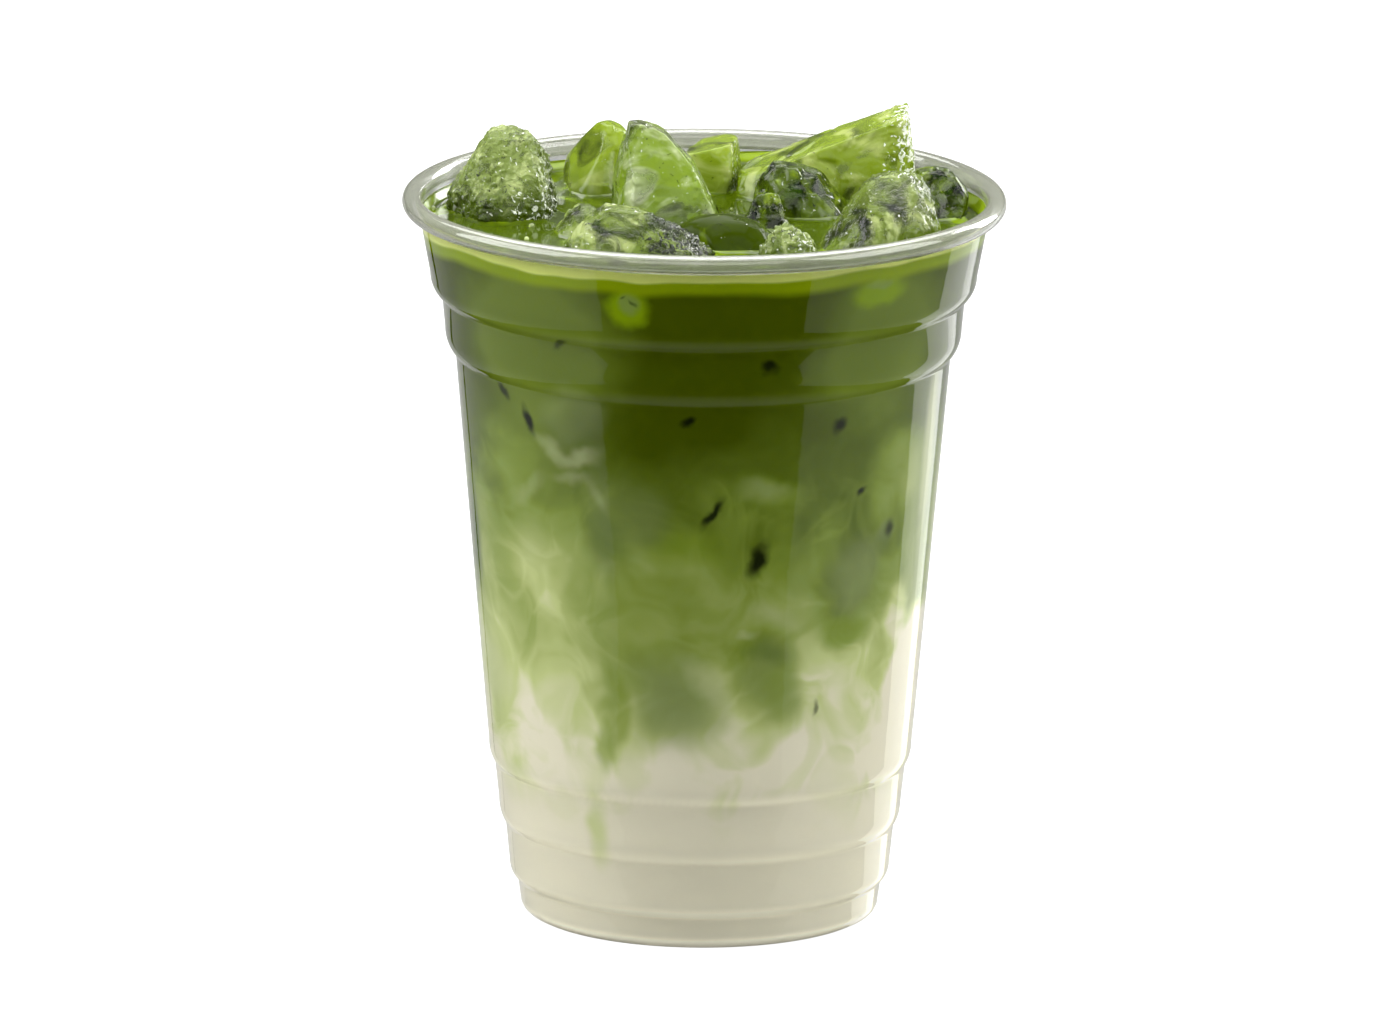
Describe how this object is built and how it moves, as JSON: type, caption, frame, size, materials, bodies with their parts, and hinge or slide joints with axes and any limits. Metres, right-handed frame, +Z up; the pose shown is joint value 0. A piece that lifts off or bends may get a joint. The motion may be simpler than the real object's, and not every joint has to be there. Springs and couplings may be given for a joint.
{
  "type": "iced matcha latte",
  "caption": "Clear stepped plastic cup with a curled rim, filled with milk that marbles into matcha above it, and broken ice standing out of the drink.",
  "frame": {"origin": "centre of the cup's foot, on the surface it stands on", "axes": "+Z up through the cup's mouth, +X to the right and +Y away from the viewer, who stands on the -Y side"},
  "size_m": [0.098, 0.098, 0.1303],
  "materials": {
    "clear_plastic": "clear, glossy thermoformed sheet",
    "milk": null,
    "marbled_latte": null,
    "matcha": null,
    "ice": "wet clear ice with a green cast"
  },
  "bodies": {
    "root": {"cup": "clear_plastic", "milk": "milk", "marbled_latte": "marbled_latte", "matcha": "matcha", "ice_left_frosted": "ice", "ice_front_left": "ice", "ice_front_dark": "ice", "ice_front_small": "ice", "ice_right_front": "ice", "ice_middle_small": "ice", "ice_middle_dark": "ice", "ice_middle_left": "ice", "ice_centre_tall": "ice", "ice_back_left": "ice", "ice_back_centre": "ice", "ice_right_slab": "ice", "ice_far_right": "ice", "ice_back_right": "ice"}
  },
  "joints": []
}
